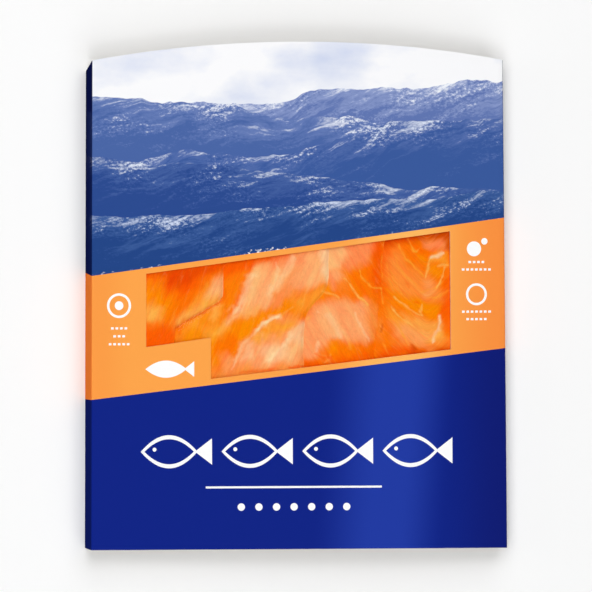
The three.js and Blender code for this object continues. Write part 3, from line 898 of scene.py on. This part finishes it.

# Fat lines, ridges and creases over the patches: tint, half width, strength, lift and the
# line's points. The dark lines marked below are painted shade in a crease and painted shadow along
# the window's bottom edge and beside the third slice's edge.
STREAKS = (
    ("red", 1.6, 0.7, 0, ((-70, 8.5), (-67, 8))),
    ("gold", 1, 0.6, 0.1, ((-43, 5), (-47, -1), (-52, -7))),
    ("gold", 1.3, 0.5, 0.1, ((-48.5, -11), (-52, -15), (-56, -19))),
    ("red", 0.7, 0.6, 0, ((-46, 8), (-51, 3), (-57, -1))),
    # painted shade in the crease along the top slice's lower edge
    ("deep", 0.6, 0.75, -0.1, ((-36.2, -2.3), (-38.5, -4), (-42, -6), (-47, -8.6), (-50, -10.2),
        (-53, -11.8), (-58.5, -15.2))),
    ("red", 1.8, 0.8, 0, ((-40, 13.4), (-36.5, 13.2), (-34, 13))),
    ("cream", 1.5, 0.75, 0.15, ((-22, 9), (-24.8, 3), (-27.2, -3.2), (-30.8, -8.4))),
    ("cream", 0.9, 0.5, 0.1, ((-10.5, 15), (-9.5, 11), (-11.5, 6))),
    ("cream", 1.6, 0.55, 0.1, ((-3, 17), (-6, 11), (-11, 5), (-14, 1))),
    ("pink", 0.8, 0.5, 0, ((-17, 9), (-19, 2), (-22, -4))),
    ("red", 0.6, 0.4, -0.1, ((-9.2, -6.2), (-7, -6.6))),
    ("deep", 0.35, 0.5, -0.1, ((-8.5, -3.5), (-7, -5.2))),
    ("cream", 0.9, 0.5, 0.2, ((-26, -22), (-22, -17.6), (-19, -15))),
    ("cream", 1, 0.85, 0.35, ((-20, -15.6), (-17, -12.8), (-13.8, -10.8), (-9.4, -9.8))),
    ("cream", 0.9, 0.8, 0, ((-17.4, -13), (-13.8, -10.8), (-9.8, -9.9))),
    ("straw", 0.6, 0.45, 0.3, ((-9, -9.8), (-7, -8.4), (-5, -6.6), (-3, -5.4))),
    ("amber", 1, 0.6, -0.1, ((-17.4, -15.6), (-15.2, -16))),
    ("cream", 0.9, 0.5, 0.1, ((-27, -23), (-29, -28), (-31.5, -33.5))),
    ("cream", 1.5, 0.85, 0.2, ((-14, -30), (-10.5, -26), (-6.5, -22.5), (-4, -18.5))),
    ("cream", 1, 0.5, 0.1, ((-4, -18.5), (-1.5, -15.5), (1, -13.5))),
    ("pink", 0.9, 0.5, 0, ((-17, -18), (-18, -24), (-19, -31))),
    # painted shadow: red lines along the window's bottom edge
    ("red", 0.9, 0.8, 0, ((-5, -33.2), (2, -32))),
    ("red", 0.8, 0.5, 0, ((-28, -35), (-18, -34.2), (-10, -33.4))),
    ("straw", 0.5, 0.75, 0.12, ((10.5, 2), (12.5, 1), (14.5, 0.4), (17, -0.2), (18.5, -1.4))),
    ("gold", 0.9, 0.7, 0.1, ((1, -2), (0, -4))),
    ("cream", 1.3, 0.55, 0.1, ((14, -9), (16.5, -14), (19.5, -18.5))),
    ("cream", 0.8, 0.6, 0.1, ((8.8, -21), (8.2, -25))),
    ("cream", 0.5, 0.6, 0.1, ((8.3, -7), (9.2, -7.6))),
    ("straw", 0.7, 0.45, 0, ((4, -11), (6.5, -9.5))),
    ("cream", 0.6, 0.5, 0.1, ((26, -8), (27, -12), (29.5, -15), (31, -18), (33, -21))),
    ("gold", 0.8, 0.5, 0, ((23, -22), (24, -24.5))),
    ("straw", 0.6, 0.4, 0.1, ((9, -27), (12, -27.6), (13.4, -29.4), (12, -30.6))),
    ("straw", 0.6, 0.3, 0.1, ((14.5, -27), (13.8, -29.5), (15, -31))),
    ("red", 0.6, 0.6, 0, ((7, -26.5), (10, -28.5), (16, -28))),
    ("straw", 0.45, 0.9, 0.12, ((21.3, 7.4), (23.5, 5), (26, 1.5), (28, -1), (30.5, -2.8), (32, -4.5))),
    ("gold", 0.5, 0.85, 0.12, ((28, 11), (29.5, 8), (31, 5.6), (34, 3.5), (36.5, 3), (38.2, 3))),
    ("gold", 0.5, 0.8, 0.12, ((38, 3), (38.6, 0), (39.6, -4))),
    ("gold", 0.4, 0.45, 0, ((39.5, -6), (41, -10))),
    ("gold", 0.35, 0.4, 0, ((38.8, 19), (38.8, 8))),
    # painted shadow beside the third slice's edge
    ("rust", 0.6, 0.65, -0.1, ((38.9, -13), (38.7, -16.5))),
    ("gold", 0.5, 0.6, 0.1, ((39, -22), (40.5, -24.5), (42, -27))),
    ("gold", 0.5, 0.85, 0.12, ((46.5, 23), (48, 20), (50, 16.6), (53, 13.6), (56, 10.8), (58.3, 8.5))),
    ("gold", 0.5, 0.8, 0.12, ((51.3, 25.3), (52.3, 22.6), (53.7, 20), (55.2, 19.6), (56.6, 21.4))),
    ("straw", 0.6, 0.95, 0.15, ((61.5, 17.2), (60.7, 14.5), (60.5, 11.5), (59.2, 8))),
    ("cream", 0.9, 0.9, 0.15, ((61.8, 17.2), (64.5, 17.4), (68, 19))),
    ("straw", 0.55, 0.9, 0.12, ((65, 13.2), (67.5, 13.8), (70, 13.8))),
    ("straw", 0.55, 0.9, 0.12, ((68.6, 12.6), (67.6, 9), (66, 5.5), (64.5, 3.5))),
    ("gold", 0.6, 0.5, 0.1, ((57, 1), (61, 2.4), (64.5, 3.5))),
    ("gold", 0.6, 0.6, 0.1, ((60, -1.8), (65, -0.8), (70, 2))),
    ("straw", 0.5, 0.95, 0.15, ((44.5, -0.8), (47, -2.8), (50, -4.8), (54, -7.8), (57.4, -9.8))),
    ("straw", 0.5, 0.9, 0.15, ((57.4, -9.8), (56.8, -7.5), (57.8, -4.2))),
    ("straw", 0.5, 0.95, 0.15, ((43, -5.5), (45.5, -8.4), (48, -10.6), (51.5, -13), (55, -15.6),
        (58.5, -18), (61.5, -20.4))),
    ("cream", 0.65, 0.9, 0.15, ((62.6, -22), (63.4, -19), (65.2, -15.8), (66, -12.5), (65.8, -9.5))),
    ("gold", 0.5, 0.6, 0.1, ((44, -11), (48, -17), (51, -22.5))),
    ("straw", 0.5, 0.55, 0.1, ((50, -20.5), (51.5, -23))),
    # painted shadow along the window's bottom edge
    ("rust", 0.7, 0.55, -0.1, ((53, -22.6), (55, -24.8))),
    ("gold", 0.4, 0.45, 0.05, ((43, 12), (44.5, 6), (47, 2), (48.5, 0))),
    ("gold", 0.4, 0.4, 0.05, ((44, 20), (46.5, 13), (50.5, 8), (55, 5))),
    ("gold", 0.4, 0.35, 0.05, ((41, 15), (42.5, 8), (44, 2))),
    ("red", 0.6, 0.4, 0, ((50, 6), (51.5, 3))),
    ("red", 0.6, 0.5, 0, ((54, -3.2), (57, -3.8))),
)


def near_segment(x, y, start, end):
    """Where along a segment each point lies nearest, from 0 to 1, and how far away it is."""
    (ax, ay), (bx, by) = start, end
    run, rise = bx - ax, by - ay
    share = np.clip(((x - ax) * run + (y - ay) * rise) / (run**2 + rise**2), 0, 1)
    return share, np.hypot(x - ax - share * run, y - ay - share * rise)


def stroke_share(x, y, points, half_width):
    """How strongly a stroke covers each point: 1 on its line, falling off over its half width."""
    away = np.full(x.shape, np.inf)
    place = np.zeros(x.shape)
    steps = len(points) - 1
    for step, (start, end) in enumerate(zip(points, points[1:])):
        share, gap = near_segment(x, y, start, end)
        place = np.where(gap < away, (step + share) / steps, place)
        away = np.minimum(away, gap)
    # thin strokes taper towards their ends, and all of them swell and fade unevenly
    taper = 0.6 + 0.4 * np.sin(math.pi * place) if half_width < 1 else 1.0
    swell = 1 + 1.2 * cloud(x / 2, y / 2, 91, 2)
    fade = 0.85 + 0.6 * cloud(x / 3, y / 3, 95, 2)
    return np.exp(-((away / (half_width * taper * swell)) ** 2)) * fade


def patch_share(x, y, outline, softness):
    """1 inside a closed outline and 0 outside, eased over softness on its edge."""
    away = np.full(x.shape, np.inf)
    inside = np.zeros(x.shape, dtype=bool)
    for start, end in zip(outline, (*outline[1:], outline[0])):
        away = np.minimum(away, near_segment(x, y, start, end)[1])
        (ax, ay), (bx, by) = start, end
        if ay != by:
            crosses = (ay > y) != (by > y)
            inside ^= crosses & (x < (bx - ax) * (y - ay) / (by - ay) + ax)
    return smoothstep(np.where(inside, away, -away), -softness / 2, softness / 2)


CLOUD_CELLS, CLOUD_SHIFT = 64, (31.7, 17.3)


def cloud(x, y, seed, octaves=3):
    """Smooth noise about 0 on cells of 1 by 1, each further octave half as large."""
    total = np.zeros(x.shape)
    for octave in range(octaves):
        table = np.random.default_rng(seed + octave).random((CLOUD_CELLS, CLOUD_CELLS)) - 0.5
        u, v = (axis * 2**octave + shift for axis, shift in zip((x, y), CLOUD_SHIFT))
        i, j = np.floor(u).astype(int), np.floor(v).astype(int)
        p, q = smoothstep(u - i, 0, 1), smoothstep(v - j, 0, 1)
        left, right = i % CLOUD_CELLS, (i + 1) % CLOUD_CELLS
        near, far = (
            table[left, row % CLOUD_CELLS] * (1 - p) + table[right, row % CLOUD_CELLS] * p
            for row in (j, j + 1)
        )
        total += (near * (1 - q) + far * q) * 0.5**octave
    return total


CHEVRON_X = 60.0  # the fibres of the last slice meet in chevrons on this line
CHEVRON_SLOPE, CHEVRON_ROUND = 1.05, 2.0
GRAIN_LEANS = ((0.4, 0.92), (0.4, 0.92), (0.5, -0.86))  # the other slices' fibres run straight
GRAIN_UV = 0.01  # UV units per millimetre of grain
COMB, DRIFT, WOBBLE = 1.3, 2.4, 0.7  # how far edges are combed out and drift, and lines wobble
PATCH_EASE = 2.6  # widens the soft edges of the patches


def grain_direction(index, x):
    """Direction of a slice's muscle fibres at x."""
    if index < len(GRAIN_LEANS):
        dx, dy = GRAIN_LEANS[index]
        return dx + 0 * x, dy + 0 * x
    return 0.7 + 0 * x, 0.75 * np.tanh((x - CHEVRON_X) / CHEVRON_ROUND)


def grain_of(index, x, y):
    """Distance along a slice's fibres and across them."""
    if index == len(GRAIN_LEANS):
        arm = np.sqrt((x - CHEVRON_X) ** 2 + CHEVRON_ROUND**2)
        return arm, y - CHEVRON_SLOPE * arm
    dx, dy = GRAIN_LEANS[index]
    return dx * x + dy * y, dx * y - dy * x


def brush_flesh(index, x, y, flesh):
    """Colour and relief of a slice at each point, its edges feathered along the fibres."""
    colour = np.tile(np.array(flesh[:3]), (len(x), 1))
    relief = np.zeros(len(x))
    along, across = grain_of(index, x, y)
    dx, dy = grain_direction(index, x)
    # the patches' edges drift and are combed out along the fibres
    comb = COMB * cloud(along / 6, across / 1.3, 10 * index + 1, 2)
    px = x + comb * dx + DRIFT * cloud(x / 5, y / 5, 51, 2)
    py = y + comb * dy + DRIFT * cloud(x / 5, y / 5, 61, 2)
    layers = []
    for tint, softness, strength, outline in PATCHES[index]:
        layers.append((tint, strength * patch_share(px, py, outline, PATCH_EASE * softness)))
    wx = x + WOBBLE * cloud(x / 3, y / 3, 71)
    wy = y + WOBBLE * cloud(x / 3, y / 3, 81)
    for tint, half_width, strength, lift, points in STREAKS:
        share = stroke_share(wx, wy, points, half_width)
        layers.append((tint, strength * share))
        relief += lift * share
    for tint, share in layers:
        cover = share[:, None]
        colour = colour * (1 - cover) + np.array(TINTS[tint][:3]) * cover
    return colour, relief


def spaced(low, high, fine_low, fine_high, fine):
    """Grid lines from low to high: coarse, and fine between fine_low and fine_high."""
    lines = []
    stretches = ((low, fine_low, COARSE_GRID), (fine_low, fine_high, fine))
    for a, b, step in (*stretches, (fine_high, high, COARSE_GRID)):
        if b > a + 1e-6:
            lines.extend(np.linspace(a, b, max(2, round((b - a) / step) + 1)))
    return np.unique(np.round(lines, 5))


def shoulder(inset, reach):
    """Steps by which a slice's rounded edge droops over its reach, at a distance in from it."""
    return EDGE_DROOP * np.exp(-((inset / reach) ** 2))


def make_slice(index, sizes, flesh):
    """One slice's upper face in millimetres, with the colour and grain of each point."""
    last = len(SLICE_EDGES)
    reach_x, reach_y = PILE_HALF_WIDTH - SLICE_INSET, PILE_HALF_LENGTH - SLICE_INSET
    left = -reach_x if index < 2 else float(edge_at(index - 1, 0.0)) - TUCK
    right = reach_x if index == last else float(edge_at(index, 0.0))
    fine = sizes.grid / MM
    fine_from = max(left, SECOND_SLICE_SEEN_X if index else WINDOW_LEFT - SHOWN_MARGIN)
    xs = spaced(left, right, fine_from, min(right, WINDOW_RIGHT + SHOWN_MARGIN), fine)
    ys = spaced(PILE_CENTRE_Y - reach_y, PILE_CENTRE_Y + reach_y, *PILE_SHOWS_Y, fine)
    bm, corners = flat_grid(len(xs) - 1, len(ys) - 1)
    x, y = (
        lines[np.rint((place + 1) / 2 * (len(lines) - 1)).astype(int)]
        for lines, place in zip((xs, ys), corners)
    )
    if index == 0:
        low = lower_edge(x)
        y = low + (y - ys[0]) / (ys[-1] - ys[0]) * (ys[-1] - low)
    start, end = edge_at(index - 1, y), edge_at(index, y)
    share = (x - xs[0]) / (xs[-1] - xs[0])
    if index > 1:
        x = x + (start - edge_at(index - 1, 0.0)) * (1 - share)
    if index < last:
        x = x + (end - edge_at(index, 0.0)) * share
    fall = np.zeros(len(x)) if index == 0 else climb_left(x, start, end)
    if index == 1:
        dip = SECOND_SLICE_DIP * smoothstep(y - lower_edge(x), -1, 3)
        fall = np.where(x < start, 1.0 + dip, fall)
    elif index:
        fall = np.where(x < start, 1.0 + TUCK_DIP * (start - x), fall)
    if index < last:
        fall = fall + shoulder(end - x, EDGE_ROUNDS[index])
    if index == 0:
        fall = fall + shoulder(y - lower_edge(x), EDGE_ROUNDS[0])
    colour, relief = brush_flesh(index, x, y, flesh)
    z = pile_height(x, y, fall) - sizes.film_gap / MM + RELIEF * relief
    place_corners(bm, x, y, z)
    return bm, colour, grain_of(index, x, y)


def dress_slice(piece, colour, grain):
    """Stores the slice's colour and grain on its mesh."""
    mesh = piece.data
    tint = mesh.attributes.new("Flesh", "FLOAT_COLOR", "POINT")
    tint.data.foreach_set("color", np.column_stack([colour, np.ones(len(colour))]).ravel())
    uv = mesh.uv_layers.new(name="Grain")
    corners = np.zeros(len(mesh.loops), dtype=int)
    mesh.loops.foreach_get("vertex_index", corners)
    uv.data.foreach_set("uv", (np.stack(grain, 1)[corners] * GRAIN_UV).ravel())


# Layers of noise in the flesh: scale along and across the fibres, detail, roughness, distortion
FIBRE = ((9, 90, 1), 6, 0.62, 0.4)
FLAKE = ((3, 17, 1), 4, 0.5, 1.2)
BAND = ((4, 34, 1), 3, 0.5, 0.8)
THREAD = ((50, 135, 1), 5, 0.65, 0.9)


def salmon_flesh():
    """Cold-smoked salmon: dense moist muscle with fine fibres and pale fat between them. The
    film clings to it wet, so that nearly all of its shine is the film's own."""
    material, node = new_material("cold_smoked_salmon_flesh")
    grain = node("UVMap", uv_map="Grain")
    fibre, flake, band, thread = (
        node(
            "TexNoise", Vector=node("Mapping", Vector=grain, Scale=scale), Scale=1, Detail=detail,
            Roughness=roughness, Distortion=distortion,
        )
        for scale, detail, roughness, distortion in (FIBRE, FLAKE, BAND, THREAD)
    )
    # fat between the flakes: thin pale lines where the flake noise crosses its middle
    seam = away_from(node, flake, 0.5)
    seam = node("Math", seam, -36.0, 1.0, operation="MULTIPLY_ADD", use_clamp=True)
    patchy = node("Math", band, 3.0, -1.3, operation="MULTIPLY_ADD", use_clamp=True)
    pale = node("Math", seam, patchy, operation="MULTIPLY")
    pale = node("Math", pale, 0.17, operation="MULTIPLY")
    light = node("Math", fibre, 0.08, 0.755, operation="MULTIPLY_ADD")
    light = node("Math", thread, 0.34, light, operation="MULTIPLY_ADD")
    warm = node("Math", band, 0.8, 0.6, operation="MULTIPLY_ADD")
    warm = node("Math", warm, light, operation="MULTIPLY")
    grade = node("CombineColor", light, warm, warm)
    tint = node("Attribute", attribute_name="Flesh")
    shaded = node("Mix", 1.0, tint, grade, data_type="RGBA", blend_type="MULTIPLY")
    colour = node("Mix", pale, shaded, TINTS["peach"], data_type="RGBA")
    height = node("Math", seam, 0.5, operation="MULTIPLY")
    height = node("Math", fibre, 0.4, height, operation="MULTIPLY_ADD")
    bump = node("Bump", Strength=0.25, Distance=0.0003, Height=height)
    wet = node("Math", fibre, 0.25, 0.34, operation="MULTIPLY_ADD")
    shader = node(
        "BsdfPrincipled", Base_Color=colour, Roughness=wet, Normal=bump, IOR=1.38,
        Specular_IOR_Level=0.02,
    )
    node("OutputMaterial", shader)
    return material


def pile_core():
    """The slices underneath, as one body that carries the visible ones."""
    bm, corners = flat_grid(*CORE_GRID)
    ease_x, ease_y = np.sin(math.pi / 2 * corners)
    x = ease_x * (PILE_HALF_WIDTH - CORE_INSET)
    y = PILE_CENTRE_Y + ease_y * (PILE_HALF_LENGTH - CORE_INSET)
    floor = POUCH_LOW.z + CORE_FLOOR
    top = pile_height(x, y, film_fall(x, y)) - CORE_DROP
    place_corners(bm, x, y, np.maximum(top, floor + CORE_THINNEST))
    close_below(bm, floor)
    return bm


class PACK_OT_salmon_slices(bpy.types.Operator):
    """Lays the overlapping salmon slices, marbled, on the pile underneath"""

    bl_idname = "pack.salmon_slices"
    bl_label = "Salmon slices"

    def execute(self, context):
        sizes = context.scene.salmon_sizes
        flesh = context.scene.pack_colours.flesh
        material = salmon_flesh()
        for index in range(len(SLICE_EDGES) + 1):
            bm, colour, grain = make_slice(index, sizes, flesh)
            piece = finish_piece(bm, f"salmon_slice_{index + 1}", [material])
            dress_slice(piece, colour, grain)
            add_wall(piece, sizes.slice, 50)
            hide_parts("salmon_pouch")
        piece = finish_piece(pile_core(), "salmon_slices_below", [material])
        x, y, _ = np.array([v.co[:] for v in piece.data.vertices]).T / MM
        colour, _ = brush_flesh(1, x, y, flesh)
        dress_slice(piece, colour, grain_of(0, x, y))
        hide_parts("salmon_pouch")
        return {"FINISHED"}


# ---- Pouch film ----------------------------------------------------------------------------------


def clear_film():
    """Vacuum-formed polyamide and polyethylene laminate: clear, thin and glossy, drawn tight on
    the fish, so that it shows only as a faint shine."""
    material, node = new_material("clear_vacuum_laminate_film")
    crease = node("TexNoise", Vector=object_mm(node), Scale=0.12, Detail=3.0)
    bump = node("Bump", Strength=0.08, Distance=0.0004, Height=crease)
    facing = node("LayerWeight", Blend=0.5, Normal=bump).outputs["Facing"]
    steep = node("Math", facing, 5.0, operation="POWER")
    mirror = node("Math", steep, 0.7, 0.015, operation="MULTIPLY_ADD")
    clear = node("BsdfTransparent", (1, 1, 1, 1))
    shine = node("BsdfGlossy", Roughness=0.14, Normal=bump)
    node("OutputMaterial", node("MixShader", mirror, clear, shine))
    return material


def make_film():
    """A closed bag: an upper sheet drawn over the pile, a flat lower one, and sealed margins."""
    bm, corners = flat_grid(*FILM_GRID)
    x = corners[0] * (POUCH_HIGH.x - POUCH_LOW.x) / 2
    y = corners[1] * (POUCH_HIGH.y - POUCH_LOW.y) / 2
    place_corners(bm, x, y, pile_height(x, y, film_fall(x, y)))
    close_below(bm, POUCH_LOW.z)
    return bm


class PACK_OT_pouch_film(bpy.types.Operator):
    """Draws the clear vacuum film over the slices and seals its margins"""

    bl_idname = "pack.pouch_film"
    bl_label = "Pouch film"

    def execute(self, context):
        piece = finish_piece(make_film(), "pouch_film", [clear_film()])
        shade_smooth(piece.data, 60)
        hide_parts("salmon_pouch")
        return {"FINISHED"}


# ---- Stage ---------------------------------------------------------------------------------------

VIEW_TURN = 14.5  # degrees round the pack's long axis, towards its left spine
VIEW_ROLL = 0.2
VIEW_DISTANCE = 11.0
VIEW_WIDTH = 592 / 2.2 * MM  # what the frame covers at the pack
AIM = (-1.33, -0.3, 12.2)
SENSOR = 36.0
# name, place, size, depth and power
LIGHTS = (
    ("key", (0.4, 3.0, 3.2), 4.2, 4.2, 103),
    ("fill", (0.5, -3.2, 3.0), 4.2, 4.2, 85),
    ("overhead", (-1.2, 0.0, 3.2), 4.4, 1.6, 69),
    ("left_fill", (-3.0, 0.3, 1.1), 1.4, 1.4, 4),
)


def matt_table():
    """White laminate with a matt texture: pale, with hardly a reflection of the pack."""
    material, node = new_material("matt_white_laminate")
    colour = linear("#FAFAFA")
    shader = node("BsdfPrincipled", Base_Color=colour, Roughness=0.9, Specular_IOR_Level=0.1)
    node("OutputMaterial", shader)
    return material


def table_top():
    """A wide flat floor under the pack."""
    bm = bmesh.new()
    bmesh.ops.create_grid(bm, x_segments=8, y_segments=8, size=3.0)
    mesh = bpy.data.meshes.new("floor")
    bm.to_mesh(mesh)
    bm.free()
    mesh.materials.append(matt_table())
    floor = bpy.data.objects.new("floor", mesh)
    bpy.context.scene.collection.objects.link(floor)
    return floor


def view_camera():
    """A long lens that looks down on the pack from its left."""
    data = bpy.data.cameras.new("view")
    data.sensor_width = SENSOR
    data.lens = SENSOR * VIEW_DISTANCE / VIEW_WIDTH
    data.clip_end = 40
    camera = bpy.data.objects.new("view", data)
    bpy.context.scene.collection.objects.link(camera)
    turn = Matrix.Rotation(math.radians(-VIEW_TURN), 4, "Y")
    turn = turn @ Matrix.Rotation(math.radians(-VIEW_ROLL), 4, "Z")
    back = Matrix.Translation((0, 0, VIEW_DISTANCE))
    camera.matrix_world = Matrix.Translation(Vector(AIM) * MM) @ turn @ back
    return camera


def soft_light(name, place, size, depth, power):
    """An area light at place, turned to the pack, in metres and watts."""
    data = bpy.data.lights.new(name, "AREA")
    data.shape = "RECTANGLE"
    data.energy = power
    data.size, data.size_y = size, depth
    lamp = bpy.data.objects.new(name, data)
    bpy.context.scene.collection.objects.link(lamp)
    lamp.location = place
    lamp.rotation_euler = (-Vector(place)).to_track_quat("-Z", "Y").to_euler()


def studio_world():
    """A world that is pale to look at and gives hardly any light."""
    world = bpy.data.worlds.new("studio")
    world.use_nodes = True
    world.node_tree.nodes.clear()
    node = partial(add, world.node_tree)
    seen = node("LightPath").outputs["Is Camera Ray"]
    dim, pale = (node("Background", (1, 1, 1, 1), strength) for strength in (0.03, 0.95))
    node("OutputWorld", node("MixShader", seen, dim, pale))
    return world


class PACK_OT_stage(bpy.types.Operator):
    """Sets the pale floor, the soft studio light and the camera"""

    bl_idname = "pack.stage"
    bl_label = "Stage"

    def execute(self, context):
        scene = context.scene
        floor = table_top()
        scene.camera = view_camera()
        for light in LIGHTS:
            soft_light(*light)
        scene.world = studio_world()
        scene.view_settings.view_transform = "Standard"
        scene.view_settings.look = "None"
        return {"FINISHED"}


# ---- Panel and registration ----------------------------------------------------------------------

GROUPS = {"sleeve_sizes": SleeveSizes, "salmon_sizes": SalmonSizes, "pack_colours": PackColours}
OPERATORS = (PACK_OT_card_sleeve, PACK_OT_salmon_slices, PACK_OT_pouch_film, PACK_OT_stage)


class PACK_PT_panel(bpy.types.Panel):
    """Sizes, colours and pieces of the pack"""

    bl_idname = "PACK_PT_panel"
    bl_label = "Smoked salmon pack"
    bl_space_type = "VIEW_3D"
    bl_region_type = "UI"
    bl_category = "Pack"

    def draw(self, context):
        for group_name, group in GROUPS.items():
            box = self.layout.box()
            for name in group.__annotations__:
                box.prop(getattr(context.scene, group_name), name)
        for operator in OPERATORS:
            self.layout.operator(operator.bl_idname)


CLASSES = (*GROUPS.values(), *OPERATORS, PACK_PT_panel)


def register():
    for cls in CLASSES:
        bpy.utils.register_class(cls)
    for name, group in GROUPS.items():
        setattr(bpy.types.Scene, name, PointerProperty(type=group))


def unregister():
    for name in GROUPS:
        delattr(bpy.types.Scene, name)
    for cls in reversed(CLASSES):
        bpy.utils.unregister_class(cls)


def main():
    register()
    bpy.ops.pack.card_sleeve()
    bpy.ops.pack.salmon_slices()
    bpy.ops.pack.pouch_film()
    bpy.ops.pack.stage()


if __name__ == "__main__":
    main()
